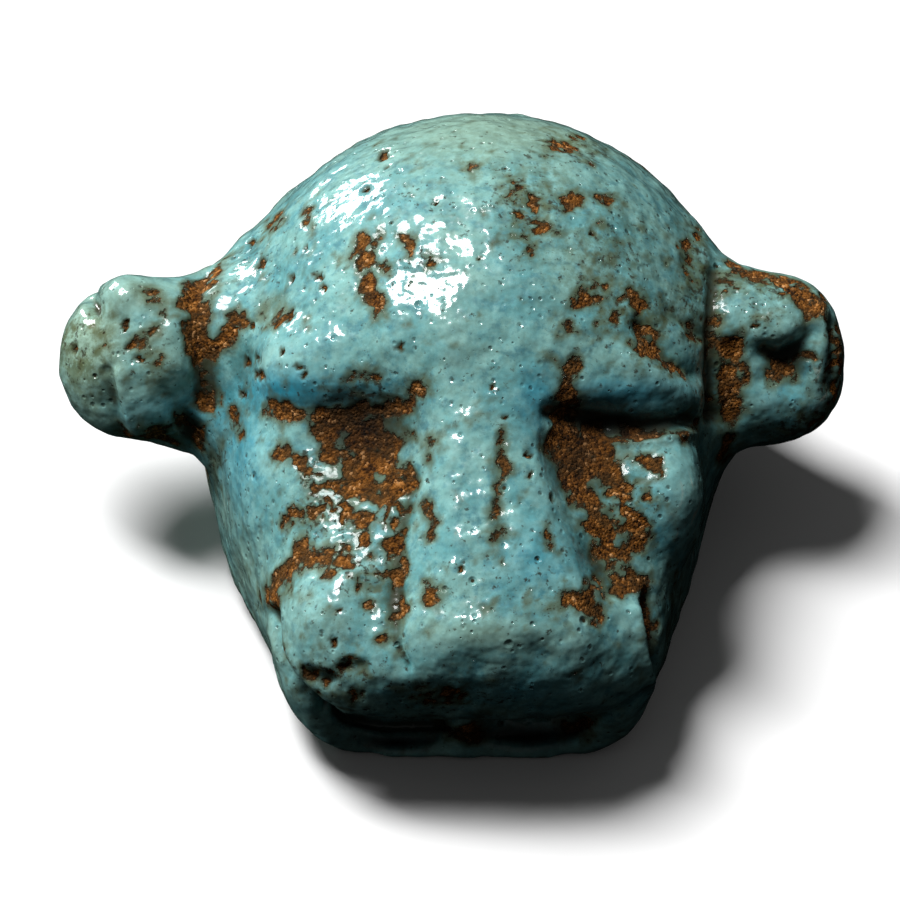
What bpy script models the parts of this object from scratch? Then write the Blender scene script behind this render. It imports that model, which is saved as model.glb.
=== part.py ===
"""A lioness head amulet bead: one moulded, glazed piece of faience, pierced from side to side for a string.

The head looks along -Y with its crown up, and rests on the flat cut under its jaw and neck.
Its forms are soft blocks and ellipsoids, which a fine remesh and a smoothing run into one body.
"""

import math

import bmesh
import bpy
from mathutils import Euler, Vector

MM = 0.001

# Driving dimensions
SKULL_WIDTH = 12.2 * MM
SKULL_LENGTH = 12.0 * MM
SKULL_HEIGHT = 12.0 * MM
SKULL_CENTRE = Vector((0.3, 1.88, 3.4)) * MM
STRING_HOLE = 1.5 * MM

# How finely the forms are run together
CLAY_GRAIN = 0.4 * MM
SMOOTHINGS = 7
LOFT_SIDES = 32

GLAZE_COLOUR = (0.10, 0.42, 0.46, 1.0)
GLAZE_ROUGHNESS = 0.25


def place(side, front, up):
    """A point given in millimetres from the skull's centre: to the viewer's right, forward, and up."""
    return SKULL_CENTRE + Vector((side, -front, up)) * MM


def clear_scene():
    for obj in list(bpy.data.objects):
        bpy.data.objects.remove(obj)


def new_collection(name):
    collection = bpy.data.collections.new(name)
    bpy.context.scene.collection.children.link(collection)
    return collection


def into(collection, obj, name):
    """Names a new object and moves it into its collection."""
    obj.name = name
    for other in list(obj.users_collection):
        other.objects.unlink(obj)
    collection.objects.link(obj)
    return obj


def as_helper(obj):
    obj.hide_render = True
    obj.display_type = "WIRE"
    return obj


def soft_block(collection, name, centre, radii, turn=(0, 0, 0), squareness=2):
    """A ball (squareness 2) or a rounded block (more) about a centre, both in millimetres.

    centre and radii are given to the side, forward and up; turn is in degrees about X, Y and Z.
    """
    bpy.ops.mesh.primitive_uv_sphere_add(segments=32, ring_count=20, radius=1)
    obj = into(collection, bpy.context.object, name)
    for point in obj.data.vertices:
        reach = sum(abs(x) ** squareness for x in point.co) ** (-1 / squareness)
        point.co = [x * reach * radius * MM for x, radius in zip(point.co, radii)]
    obj.rotation_euler = Euler([math.radians(a) for a in turn])
    obj.location = place(*centre)
    return as_helper(obj)


def soft_loft(collection, name, sections):
    """A body through rounded sections, from back to front.

    Each section is (front, middle, half width, bottom, height of the widest point, top, squareness),
    in millimetres.
    """
    mesh = bpy.data.meshes.new(name)
    obj = bpy.data.objects.new(name, mesh)
    collection.objects.link(obj)
    shape = bmesh.new()
    rings = []
    for front, middle, half, bottom, widest, top, squareness in sections:
        ring = []
        for k in range(LOFT_SIDES):
            across, upward = (
                math.copysign(abs(part) ** (2 / squareness), part)
                for part in (math.cos(math.tau * k / LOFT_SIDES), math.sin(math.tau * k / LOFT_SIDES))
            )
            height = widest + upward * (top - widest if upward > 0 else widest - bottom)
            ring.append(shape.verts.new(Vector((middle + half * across, -front, height)) * MM))
        rings.append(ring)
    for back, fore in zip(rings, rings[1:]):
        for k in range(LOFT_SIDES):
            after = (k + 1) % LOFT_SIDES
            shape.faces.new((back[k], back[after], fore[after], fore[k]))
    shape.faces.new(rings[0][::-1])
    shape.faces.new(rings[-1])
    bmesh.ops.recalc_face_normals(shape, faces=shape.faces)
    shape.to_mesh(mesh)
    shape.free()
    obj.location = SKULL_CENTRE
    return as_helper(obj)


def build_forms(forms):
    """What is added to the skull, blocked out from the back to the front."""
    soft_loft(
        forms,
        "cheeks_and_jaw",
        (
            (-1.0, -0.1, 6.0, -5.2, -1.5, 3.6, 2.4),
            (1.5, -0.15, 5.95, -5.2, -1.5, 3.7, 2.4),
            (4.0, -0.12, 5.4, -5.2, -1.5, 3.65, 2.6),
            (6.0, 0.0, 4.75, -5.0, -1.2, 2.8, 2.6),
            (7.5, 0.0, 4.4, -4.6, -1.1, 1.9, 2.4),
            (8.3, 0.0, 4.2, -4.3, -1.1, 1.4, 2.4),
            (8.75, 0.0, 4.0, -3.8, -1.1, 1.1, 2.4),
            (9.0, 0.0, 3.65, -3.2, -1.0, 0.9, 2.4),
        ),
    )
    soft_loft(
        forms,
        "upper_lip",
        (
            (5.5, 0.0, 4.7, -1.5, -0.3, 2.2, 2.5),
            (7.8, 0.0, 4.5, -1.4, -0.5, 1.6, 2.5),
            (8.5, 0.0, 4.35, -1.35, -0.5, 1.5, 2.5),
            (9.0, -0.05, 4.0, -1.3, -0.45, 1.45, 2.5),
            (9.4, -0.05, 3.4, -1.25, -0.35, 1.25, 2.5),
            (9.75, -0.05, 2.5, -0.9, -0.1, 0.75, 2.5),
        ),
    )
    soft_loft(
        forms,
        "bridge",
        (
            (1.5, 0.45, 1.4, 1.0, 3.0, 5.5, 2.6),
            (4.0, 0.45, 1.45, 0.0, 2.5, 4.6, 2.8),
            (5.5, 0.5, 1.6, 0.0, 2.0, 3.85, 2.8),
            (7.0, 0.7, 2.0, 0.0, 1.5, 3.1, 2.8),
            (8.3, 0.75, 2.2, -0.5, 1.2, 2.45, 2.7),
            (9.2, 0.6, 2.3, -1.0, 0.6, 1.95, 2.5),
            (9.7, 0.5, 2.0, -0.8, 0.2, 1.3, 2.5),
        ),
    )
    soft_block(forms, "left_temple", (-4.2, -1.2, 1.25), (1.7, 1.8, 1.8))
    soft_block(forms, "right_temple", (4.9, -0.4, 1.35), (1.5, 1.8, 2.05))
    soft_block(forms, "left_brow", (-2.6, 2.4, 3.1), (2.3, 1.5, 1.2))
    soft_block(forms, "right_brow", (3.2, 2.6, 2.95), (2.4, 1.7, 1.35), (0, 20, 12))
    soft_block(forms, "left_whisker_pad", (-2.7, 7.2, 0.75), (1.4, 1.8, 1.25))
    soft_block(forms, "right_whisker_pad", (3.1, 7.4, 0.5), (1.1, 1.5, 1.1))
    soft_block(forms, "right_cheek", (4.4, 4.7, 1.0), (1.0, 1.5, 1.7))
    soft_block(forms, "left_ear_root", (-5.7, 0.2, 1.0), (2.0, 1.6, 2.1))
    soft_block(forms, "left_ear", (-7.85, 0.55, 1.1), (1.55, 1.15, 1.75), (-52, 0, 0), 2.5)
    soft_block(forms, "left_ear_front", (-7.45, 0.85, 1.85), (1.3, 1.1, 1.8), (-55, 0, 0))
    soft_block(forms, "left_ear_lobe", (-6.75, 1.25, 0.4), (1.4, 1.25, 1.15))
    soft_block(forms, "right_ear_root", (6.1, 0.2, 1.0), (1.7, 1.6, 2.25))
    soft_block(forms, "right_ear", (6.98, 0.7, 1.2), (1.72, 1.25, 2.0), (-46, 0, 0), 2.6)
    soft_block(forms, "right_ear_lump", (6.95, 0.75, 2.4), (0.75, 0.7, 0.75))


def build_hollows(hollows):
    """What the modeller pressed or cut away."""
    soft_loft(
        hollows,
        "left_eye_socket",
        (
            (3.75, -2.65, 1.4, 2.85, 5.0, 8.0, 2.5),
            (4.2, -2.65, 1.9, 2.5, 5.0, 8.0, 2.5),
            (5.0, -2.55, 1.6, 2.3, 5.0, 8.0, 2.5),
            (6.2, -2.45, 1.2, 2.2, 5.0, 8.0, 2.5),
            (7.2, -2.3, 0.7, 2.2, 5.0, 8.0, 2.5),
        ),
    )
    soft_loft(
        hollows,
        "right_eye_socket",
        (
            (4.15, 2.7, 1.1, 2.85, 5.0, 8.0, 2.5),
            (5.0, 2.7, 1.2, 2.5, 5.0, 8.0, 2.5),
            (6.2, 2.9, 1.0, 2.1, 5.0, 8.0, 2.5),
            (7.5, 3.25, 0.8, 1.7, 5.0, 8.0, 2.5),
            (8.2, 3.5, 0.5, 1.6, 5.0, 8.0, 2.5),
        ),
    )
    soft_block(hollows, "right_brow_furrow", (3.5, 4.15, 3.0), (1.8, 0.7, 0.4), (0, 15, 18))
    soft_block(hollows, "left_ear_fold", (-8.05, 2.15, 1.1), (0.35, 0.7, 0.75))
    soft_block(hollows, "right_ear_hollow", (7.35, 1.9, 1.95), (0.75, 0.9, 0.7))
    soft_block(hollows, "mouth_left", (-1.55, 9.4, -2.15), (1.3, 2.1, 0.8), squareness=3)
    soft_block(hollows, "mouth_right", (1.5, 9.4, -2.05), (1.35, 2.1, 0.85), squareness=3)
    soft_block(hollows, "mouth_line", (-0.2, 9.7, -1.7), (3.5, 1.1, 0.5), squareness=3)
    soft_block(hollows, "mouth_corner", (-3.9, 9.2, -1.0), (0.8, 0.9, 0.4), (0, 35, 0))


def remeshed(obj, forms, hollows):
    """Joins the forms, cuts the hollows and runs everything into one soft body."""
    join = obj.modifiers.new("join forms", "BOOLEAN")
    join.operation = "UNION"
    join.operand_type = "COLLECTION"
    join.collection = forms
    cut = obj.modifiers.new("cut hollows", "BOOLEAN")
    cut.operation = "DIFFERENCE"
    cut.operand_type = "COLLECTION"
    cut.collection = hollows
    clay = obj.modifiers.new("clay", "REMESH")
    clay.mode = "VOXEL"
    clay.voxel_size = CLAY_GRAIN
    clay.adaptivity = 0
    smooth = obj.modifiers.new("smooth", "SMOOTH")
    smooth.factor = 0.5
    smooth.iterations = SMOOTHINGS


def subtract(obj, cutter, name):
    cut = obj.modifiers.new(name, "BOOLEAN")
    cut.operation = "DIFFERENCE"
    cut.object = cutter


def base_cutter(cutters):
    """The block that trims the neck and jaw flat at the base."""
    depth = 5 * MM
    bpy.ops.mesh.primitive_cube_add(size=1)
    obj = into(cutters, bpy.context.object, "base_cut")
    obj.scale = (3 * SKULL_WIDTH, 3 * SKULL_WIDTH, depth)
    bpy.ops.object.transform_apply(location=False, rotation=False, scale=True)
    obj.location.z = -depth / 2
    return as_helper(obj)


def string_hole_cutter(cutters):
    """A rod from side to side through the back of the head, under and behind the ears."""
    bpy.ops.mesh.primitive_cylinder_add(
        vertices=24, radius=STRING_HOLE / 2, depth=2 * SKULL_WIDTH, rotation=(0, math.radians(90), 0)
    )
    obj = into(cutters, bpy.context.object, "string_hole")
    obj.location = place(0, -2.4, -1.2)
    return as_helper(obj)


def faience():
    material = bpy.data.materials.new("faience_glaze")
    material.use_nodes = True
    shader = material.node_tree.nodes["Principled BSDF"]
    shader.inputs["Base Color"].default_value = GLAZE_COLOUR
    shader.inputs["Roughness"].default_value = GLAZE_ROUGHNESS
    return material


def build_head(bead, forms, hollows, cutters):
    build_forms(forms)
    build_hollows(hollows)
    radii = (SKULL_WIDTH / 2 / MM, SKULL_LENGTH / 2 / MM, SKULL_HEIGHT / 2 / MM)
    head = soft_block(bead, "lioness_head_bead", (0.3, 0, -0.05), radii)
    head.hide_render = False
    head.display_type = "TEXTURED"
    remeshed(head, forms, hollows)
    subtract(head, base_cutter(cutters), "flat base")
    subtract(head, string_hole_cutter(cutters), "string hole")
    head.data.materials.append(faience())
    return head


def main():
    clear_scene()
    bead = new_collection("lioness head amulet bead")
    forms, hollows, cutters = (new_collection(name) for name in ("forms", "hollows", "cutters"))
    build_head(bead, forms, hollows, cutters)


main()
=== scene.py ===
"""The lioness head bead's looks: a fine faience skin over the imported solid, with floor, light and camera.

Lengths are in millimetres wherever a name doesn't say otherwise. Places on the head are given from the
skull's centre: side (towards the viewer's right), front (the way the face looks) and up. The face chart
is the flat drawing of the face seen from FACE_TILT above the front: u runs to the side and v upwards.
"""

import math

import bmesh
import bpy
import numpy as np
from mathutils import Matrix, Vector, noise


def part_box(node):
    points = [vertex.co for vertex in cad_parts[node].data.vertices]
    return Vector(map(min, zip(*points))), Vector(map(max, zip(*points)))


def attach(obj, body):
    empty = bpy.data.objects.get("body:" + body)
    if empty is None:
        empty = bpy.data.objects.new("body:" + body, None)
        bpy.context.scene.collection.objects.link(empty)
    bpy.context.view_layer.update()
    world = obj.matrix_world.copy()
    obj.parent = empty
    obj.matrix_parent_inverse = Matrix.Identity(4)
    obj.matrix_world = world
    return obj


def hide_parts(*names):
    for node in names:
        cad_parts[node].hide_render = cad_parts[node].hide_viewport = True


NODE = "lioness_head_bead"
MM = 0.001

# The skull's centre, from the middle of the box's underside
SKULL_CENTRE = Vector((0.3, 1.88, 3.4))
FACE_TILT = math.radians(50)

# How far the next seed's noise lies from this one's, in lumps
SEED_SHIFT = Vector((13.7, 5.1, 9.3))

# The skin's mesh
WELD = 1e-3
VOXEL = 0.1
SMOOTHINGS = 40
CAVITY_SMOOTHINGS = 80

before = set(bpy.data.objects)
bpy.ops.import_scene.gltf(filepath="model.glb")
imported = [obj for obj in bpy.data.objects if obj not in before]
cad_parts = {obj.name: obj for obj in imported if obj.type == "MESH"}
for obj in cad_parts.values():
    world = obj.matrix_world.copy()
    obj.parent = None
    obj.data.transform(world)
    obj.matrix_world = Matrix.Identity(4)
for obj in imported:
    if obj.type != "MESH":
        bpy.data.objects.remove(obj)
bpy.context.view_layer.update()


# ---------------------------------------------------------------- the skin's mesh

def fine_copy(node):
    """The node's body as an even fine mesh, in millimetres."""
    mesh = node.data.copy()
    mesh.transform(Matrix.Scale(1 / MM, 4))
    shape = bmesh.new()
    shape.from_mesh(mesh)
    bmesh.ops.remove_doubles(shape, verts=shape.verts, dist=WELD)
    shape.to_mesh(mesh)
    shape.free()
    rough = bpy.data.objects.new("rough_skin", mesh)
    bpy.context.scene.collection.objects.link(rough)
    remesh = rough.modifiers.new("even", "REMESH")
    remesh.mode = "VOXEL"
    remesh.voxel_size = VOXEL
    graph = bpy.context.evaluated_depsgraph_get()
    fine = bpy.data.meshes.new_from_object(rough.evaluated_get(graph))
    bpy.data.objects.remove(rough)
    return fine


def points_of(mesh):
    points = np.empty(len(mesh.vertices) * 3)
    mesh.vertices.foreach_get("co", points)
    return points.reshape(-1, 3)


def set_points(mesh, points):
    mesh.vertices.foreach_set("co", points.ravel())
    mesh.update()


def normals_of(mesh):
    normals = np.empty(len(mesh.vertices) * 3)
    mesh.vertex_normals.foreach_get("vector", normals)
    return normals.reshape(-1, 3)


def neighbours_of(mesh):
    """Each edge's two ends, both ways round, and the number of edges at each point."""
    ends = np.empty(len(mesh.edges) * 2, np.int64)
    mesh.edges.foreach_get("vertices", ends)
    ends = ends.reshape(-1, 2)
    a = np.concatenate([ends[:, 0], ends[:, 1]])
    b = np.concatenate([ends[:, 1], ends[:, 0]])
    return a, b, np.bincount(a, minlength=len(mesh.vertices))


def smoothed(values, neighbours, times):
    """values moved half way to the mean of their neighbours', over and over."""
    a, b, counts = neighbours
    values = values.copy()
    for _ in range(times):
        for k in range(values.shape[1]):
            mean = np.bincount(a, weights=values[b, k], minlength=len(counts)) / counts
            values[:, k] += 0.5 * (mean - values[:, k])
    return values


# ---------------------------------------------------------------- the face chart's tools

def smoothstep(low, high, x):
    t = np.clip((x - low) / (high - low), 0, 1)
    return t * t * (3 - 2 * t)


def noise_at(points, size, seed):
    """Smooth noise between -1 and 1 whose lumps are about size across."""
    shift = SEED_SHIFT * seed
    return np.array([noise.noise(Vector(p) / size + shift) for p in points])


def lumps(points, layers):
    """Layers of smooth noise added up, each given as reach, lump size and seed."""
    return sum(reach * noise_at(points, size, seed) for reach, size, seed in layers)


def along(u, v, path):
    """Distance on the face chart from a point or a path of points."""
    nearest = np.hypot(u - path[0][0], v - path[0][1])
    for (u0, v0), (u1, v1) in zip(path, path[1:]):
        du, dv = u1 - u0, v1 - v0
        t = np.clip(((u - u0) * du + (v - v0) * dv) / (du * du + dv * dv), 0, 1)
        nearest = np.minimum(nearest, np.hypot(u - u0 - t * du, v - v0 - t * dv))
    return nearest


def tint(u, v, zones):
    """The strongest of some soft round zones on the face chart."""
    total = np.zeros(len(u))
    for middle_u, middle_v, half_u, half_v, amount in zones:
        reach = ((u - middle_u) / half_u) ** 2 + ((v - middle_v) / half_v) ** 2
        total = np.maximum(total, amount * np.exp(-reach))
    return total


# ---------------------------------------------------------------- what is on the face chart

# Soft swellings and dips: (u, v, half width, half height, lift)
SWELLINGS = (
    # the forehead above the nose, and the left brow
    (-0.9, 0.8, 1.7, 1.1, 0.17), (-3.3, 0.6, 1.0, 0.5, 0.06),
    # the cheeks, and the slope from the left one up to the bridge
    (4.6, -2.7, 0.6, 1.1, 0.12), (-4.9, -2.4, 0.5, 1.4, 0.06), (-1.6, -3.6, 0.35, 1.6, 0.08),
    # small lumps down the crest of the bridge
    (-0.12, -1.85, 0.16, 0.2, 0.05), (-0.05, -2.5, 0.12, 0.14, 0.03), (-0.22, -3.15, 0.15, 0.2, 0.05),
    (-0.12, -3.9, 0.15, 0.17, 0.05), (-0.25, -4.4, 0.14, 0.15, 0.04),
    # the muzzle's upper edge with two dips in it, and the whisker pads
    (0.35, -5.85, 1.3, 0.5, 0.14), (1.6, -6.3, 0.4, 0.4, -0.08), (-1.45, -6.4, 0.35, 0.4, -0.1),
    (-3.1, -5.3, 0.8, 0.7, 0.05), (-3.2, -5.9, 0.7, 0.9, 0.1), (2.7, -5.9, 0.8, 0.4, 0.06),
    # the left ear: the lump on top and the notch beside it, the hollow, the lobes and the hollow beneath
    (-7.85, 1.75, 0.5, 0.4, 0.22), (-8.5, 1.55, 0.17, 0.3, -0.3), (-7.6, 0.55, 0.5, 0.7, -0.1),
    (-6.65, 0.9, 0.25, 0.3, 0.09), (-6.55, 0.1, 0.4, 0.45, 0.16), (-7.7, -1.15, 0.9, 0.45, 0.2),
    (-6.9, -1.6, 0.4, 0.25, -0.15), (-6.3, -1.4, 0.3, 0.45, -0.28),
    # the right ear: the lump, the lip over its hollow, and the lobe
    (7.0, 1.05, 0.5, 0.5, 0.05), (7.25, 0.85, 0.3, 0.2, 0.08), (6.95, -0.65, 0.65, 0.45, 0.12),
)

# Carved lines: path, half width, lift (cut away where negative)
STROKES = (
    # the right eye: the hollow under the brow, the lid, and the brow's fold
    (((1.95, -1.0), (3.1, -1.3), (4.0, -1.35), (4.95, -1.15)), 0.22, -0.22),
    (((3.4, -1.65), (4.3, -1.6), (5.1, -1.42)), 0.13, 0.12),
    (((3.9, 0.95), (4.5, 0.35), (5.2, -0.1)), 0.22, -0.16),
    (((3.5, 0.3), (4.4, -0.3), (5.1, -0.65)), 0.25, 0.09), (((4.6, 1.3), (5.3, 0.75)), 0.15, -0.08),
    # the bridge: its crest, its two edges and the crack down its right
    (((-0.3, 0.6), (-0.4, -2.0), (-0.2, -4.6)), 0.5, 0.08),
    (((-1.15, -2.4), (-1.5, -3.8), (-1.55, -6.0)), 0.22, -0.14),
    (((1.9, -1.7), (2.35, -3.3), (3.3, -4.9)), 0.25, -0.12),
    (((0.8, -1.6), (0.74, -2.4), (0.8, -3.9)), 0.13, -0.08),
    # the muzzle's right corner and the groove behind it
    (((3.8, -5.4), (4.03, -6.3), (4.25, -7.2)), 0.13, 0.14),
    (((4.1, -5.1), (4.22, -6.45), (4.42, -7.2)), 0.13, -0.28),
    # the mouth's line, round the left end of the muzzle and faintly on the right
    (((-4.35, -5.5), (-4.26, -6.46), (-4.03, -6.85), (-3.64, -7.28), (-3.18, -7.67)), 0.14, -0.45),
    (((-3.18, -7.67), (-2.66, -7.92), (-1.76, -8.06), (-0.64, -8.02)), 0.12, -0.3),
    (((2.5, -8.0), (3.5, -7.65), (4.2, -7.15)), 0.12, -0.1),
    # the mouth's two open hollows
    (((-2.3, -8.4), (-1.6, -8.42), (-0.75, -8.35)), 0.2, -0.12),
    (((0.5, -8.25), (1.4, -8.28), (2.4, -8.2)), 0.22, -0.12),
    # nostrils and a crack
    (((-3.45, -6.8), (-3.0, -6.92)), 0.15, -0.16), (((-2.65, -6.65), (-2.3, -6.6)), 0.15, -0.12),
    (((3.0, -7.2), (3.5, -7.35)), 0.15, -0.08), (((-1.5, -6.2), (-1.25, -6.65)), 0.06, -0.12),
    # the left ear: its root, its rim, its fold and the ridge beside the fold
    (((-6.0, 2.5), (-6.1, 1.0), (-5.93, 0.0), (-5.9, -0.7)), 0.25, -0.2),
    (((-8.5, 1.6), (-8.3, 1.0), (-8.25, 0.3)), 0.2, -0.06),
    (((-8.12, -0.1), (-8.0, -0.69), (-7.8, -1.2)), 0.2, -0.14),
    (((-7.85, -0.1), (-7.68, -0.66), (-7.45, -1.15), (-7.2, -1.35)), 0.15, 0.15),
    # the right ear: its root, its hollow and its rim
    (((5.68, 2.2), (5.62, 0.9), (5.62, -1.1)), 0.18, -0.24), (((6.0, 0.4), (6.0, -1.0)), 0.3, -0.14),
    (((6.8, 0.38), (7.12, 0.22), (7.53, 0.5), (7.85, 0.8)), 0.2, -0.18),
    (((8.0, 1.35), (8.1, 0.6), (7.95, -0.2)), 0.2, 0.12), (((8.33, 1.0), (8.35, -0.4)), 0.1, -0.14),
)

# Where the glaze has gone: half width, then the path of the patch
LOSSES = (
    # the left eye and cheek
    (0.12, (-5.3, -1.05), (-5.1, -1.4)),
    (0.20, (-4.25, -0.92), (-3.8, -1.1)), (0.24, (-3.8, -1.05), (-2.5, -1.05), (-1.3, -0.85)),
    (0.17, (-1.02, -0.3), (-1.15, -0.75)), (0.42, (-2.95, -1.45), (-1.7, -1.5)),
    (0.45, (-2.7, -2.05), (-1.7, -2.15)), (0.36, (-2.6, -2.6), (-1.6, -2.65)),
    (0.16, (-4.05, -1.75), (-3.5, -2.3), (-3.1, -2.8)), (0.15, (-3.1, -3.0), (-3.9, -3.5)),
    (0.20, (-2.6, -3.2), (-2.2, -3.7)), (0.15, (-1.5, -3.1), (-1.4, -3.6)), (0.10, (-2.7, -3.9)),
    (0.08, (-2.06, -4.15), (-2.06, -4.4)), (0.10, (-2.5, -0.15), (-2.0, -0.2)),
    # the right eye and cheek
    (0.22, (2.3, 0.1), (2.3, -0.6), (2.4, -1.2)),
    (0.34, (2.25, -1.4), (2.5, -2.3), (2.85, -3.2), (3.25, -4.0)),
    (0.34, (2.9, -1.4), (3.15, -2.3), (3.55, -3.2), (3.85, -3.9)), (0.17, (3.3, -2.0), (4.2, -2.15)),
    (0.14, (3.2, -1.55), (5.1, -1.42)), (0.30, (3.65, -4.7), (3.75, -4.75)),
    (0.12, (3.25, -4.2), (3.5, -4.5)), (0.13, (3.9, -2.7), (4.2, -2.95)),
    (0.27, (2.4, -5.2), (2.85, -5.35)), (0.11, (1.85, -5.3), (1.98, -5.4)),
    (0.09, (2.95, -4.7), (3.15, -5.1)), (0.08, (1.75, -3.65), (1.8, -3.8)),
    (0.06, (1.85, -3.9), (2.05, -4.1)),
    # the bridge and the muzzle
    (0.12, (0.85, -1.5), (0.72, -1.9), (0.85, -2.2), (0.72, -2.6), (0.75, -3.2)),
    (0.14, (0.82, -3.65), (0.7, -3.9)), (0.07, (-0.64, -1.6), (-0.75, -1.95)),
    (0.09, (-0.85, -3.05), (-0.72, -3.5), (-0.8, -3.8)), (0.13, (-0.73, -4.95), (-0.72, -5.1)),
    (0.26, (-3.65, -4.0), (-3.2, -4.25), (-2.8, -4.35)),
    (0.21, (-1.55, -3.9), (-1.4, -4.4), (-1.5, -4.8)),
    (0.13, (-1.55, -4.9), (-1.5, -5.3), (-1.6, -5.65)), (0.09, (-1.75, -6.0), (-1.85, -6.1)),
    (0.09, (-2.05, -5.1), (-2.15, -5.2)), (0.08, (-2.35, -4.75)),
    (0.20, (-3.9, -4.45), (-4.3, -5.05), (-4.5, -5.7)), (0.10, (-4.2, -5.9), (-4.15, -6.5)),
    (0.10, (-3.45, -6.85), (-3.05, -6.95)), (0.12, (-2.7, -6.6), (-2.4, -6.65)), (0.07, (-2.5, -7.3)),
    (0.10, (-1.0, -7.2), (-0.5, -7.3), (0.1, -7.2)), (0.16, (-0.6, -8.1), (0.3, -8.15)),
    (0.14, (2.3, -8.1), (2.8, -8.0)), (0.06, (-3.7, -7.2), (-2.6, -7.85)),
    (0.10, (4.15, -5.2), (4.2, -6.3)), (0.12, (4.85, -4.8), (4.85, -5.1)),
    # the forehead and the crown
    (0.16, (-2.3, 2.8), (-2.2, 2.2), (-2.1, 1.7)), (0.17, (-2.3, 2.95), (-2.32, 2.5)),
    (0.10, (-2.05, 2.95), (-2.1, 2.6)), (0.22, (-2.25, 2.3), (-1.95, 2.25)),
    (0.19, (-2.2, 1.9), (-2.05, 1.6), (-1.9, 1.35)), (0.10, (-1.35, 2.95), (-1.25, 2.7)),
    (0.09, (-0.85, 2.6), (-0.8, 2.4)), (0.13, (2.1, 5.15), (2.5, 5.1)),
    (0.10, (0.05, 4.6), (0.15, 4.5)), (0.13, (1.1, 4.0), (1.4, 3.6)), (0.14, (1.3, 3.4), (1.7, 3.25)),
    (0.12, (1.5, 2.9), (1.4, 2.7)), (0.16, (2.3, 3.6), (2.55, 3.7)), (0.12, (2.95, 3.85), (3.15, 3.7)),
    (0.12, (5.0, 2.3), (5.05, 2.7)), (0.10, (5.3, 3.1), (5.2, 2.9)), (0.09, (-4.5, 3.3), (-4.3, 3.4)),
    (0.07, (-3.5, 3.5), (-3.5, 3.3)), (0.13, (-4.35, 1.15), (-4.25, 1.0)),
    # the right brow
    (0.13, (2.5, 1.4), (2.8, 1.65), (3.15, 1.6)), (0.10, (3.6, 1.6), (4.0, 1.4)),
    (0.09, (3.2, 1.15), (3.1, 1.0)), (0.20, (4.0, 0.75), (4.3, 0.35)), (0.14, (4.5, 0.15), (5.0, -0.1)),
    (0.10, (5.0, 1.0), (5.25, 0.75)), (0.10, (5.5, -0.95), (5.55, -0.7)),
    (0.08, (2.1, 0.85), (2.3, 0.9)),
    # the left ear and its root
    (0.20, (-5.75, 2.75), (-6.0, 2.2), (-6.15, 1.8)), (0.29, (-6.1, 1.6), (-6.1, 0.7), (-5.95, 0.3)),
    (0.11, (-5.55, 2.6), (-5.75, 2.0)), (0.18, (-5.7, 0.45), (-5.3, 0.8)),
    (0.14, (-5.2, 1.25), (-5.05, 1.0)), (0.08, (-5.93, 0.0), (-5.93, -0.5)),
    (0.18, (-5.95, -0.65), (-5.8, -0.7)), (0.12, (-7.3, 1.6), (-6.9, 1.55)),
    (0.07, (-6.85, 1.25), (-6.5, 1.25)), (0.07, (-7.55, 0.55), (-7.0, 0.85)),
    (0.12, (-7.05, 0.1), (-7.05, -0.1)), (0.08, (-8.2, 0.85), (-8.2, 0.5)),
    (0.12, (-7.8, -1.3), (-7.5, -1.45)), (0.17, (-7.2, -1.4), (-6.7, -1.8)),
    (0.20, (-6.5, -1.1), (-6.1, -1.6)),
    # the right ear and its root
    (0.26, (6.05, 0.45), (6.0, -0.3), (6.0, -1.0)), (0.13, (5.75, 1.9), (5.7, 1.6)),
    (0.08, (5.7, 1.5), (5.7, 0.4)), (0.15, (6.0, -1.5), (5.85, -2.0)),
    (0.22, (6.1, 2.3), (6.9, 2.05), (7.6, 1.8), (8.0, 1.4)), (0.16, (7.75, 1.2)),
    (0.20, (8.45, 0.9), (8.5, -0.6)), (0.20, (8.1, -1.2)), (0.18, (6.95, -0.05), (7.15, -0.1)),
    (0.09, (7.45, 0.05), (7.85, 0.4)),
)

# Islands of glaze left standing in the patches: (u, v, radius)
ISLANDS = (
    (-3.55, -1.78, 0.13), (-3.25, -2.2, 0.07), (-2.4, -3.05, 0.14), (-2.95, -3.45, 0.2),
    (-1.6, -3.3, 0.14), (-3.6, -2.9, 0.12), (3.75, -1.8, 0.1), (3.2, -3.0, 0.13), (3.55, -3.75, 0.14),
    (-5.78, 1.85, 0.15), (-5.68, 0.98, 0.12), (2.75, -2.6, 0.07), (-2.7, -1.5, 0.06), (4.3, -2.6, 0.2),
)

# Open pits: (u, v, radius)
PITS = (
    (-1.9, 4.9, 0.1), (-1.7, 4.6, 0.07), (-2.2, 4.05, 0.1), (-4.9, 2.9, 0.08), (-4.7, 2.4, 0.07),
    (-3.6, 2.7, 0.07), (-3.9, 2.05, 0.07), (-3.35, 2.05, 0.08), (-3.25, 1.75, 0.08), (-3.95, 1.2, 0.1),
    (-4.97, 0.18, 0.07), (-4.7, 0.2, 0.07), (-4.65, -0.15, 0.1), (-4.1, 0.3, 0.07), (-3.8, 0.07, 0.07),
    (-3.6, -0.2, 0.08), (-1.45, 0.45, 0.1), (-0.1, -4.45, 0.05), (-2.9, -6.05, 0.08),
    (-2.85, -5.35, 0.07), (1.4, -1.9, 0.05), (1.45, -2.4, 0.06), (1.9, -2.9, 0.06), (0.6, -0.5, 0.05),
    (0.85, -1.1, 0.06), (-7.7, 1.0, 0.09), (-7.6, 0.55, 0.09), (-7.45, 0.22, 0.08), (-8.8, 0.5, 0.07),
    (6.55, 1.05, 0.07), (-4.8, 0.95, 0.06), (-5.0, -0.55, 0.06), (2.9, 3.0, 0.07), (0.4, 2.5, 0.05),
    (-0.6, 3.7, 0.06),
)

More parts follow.
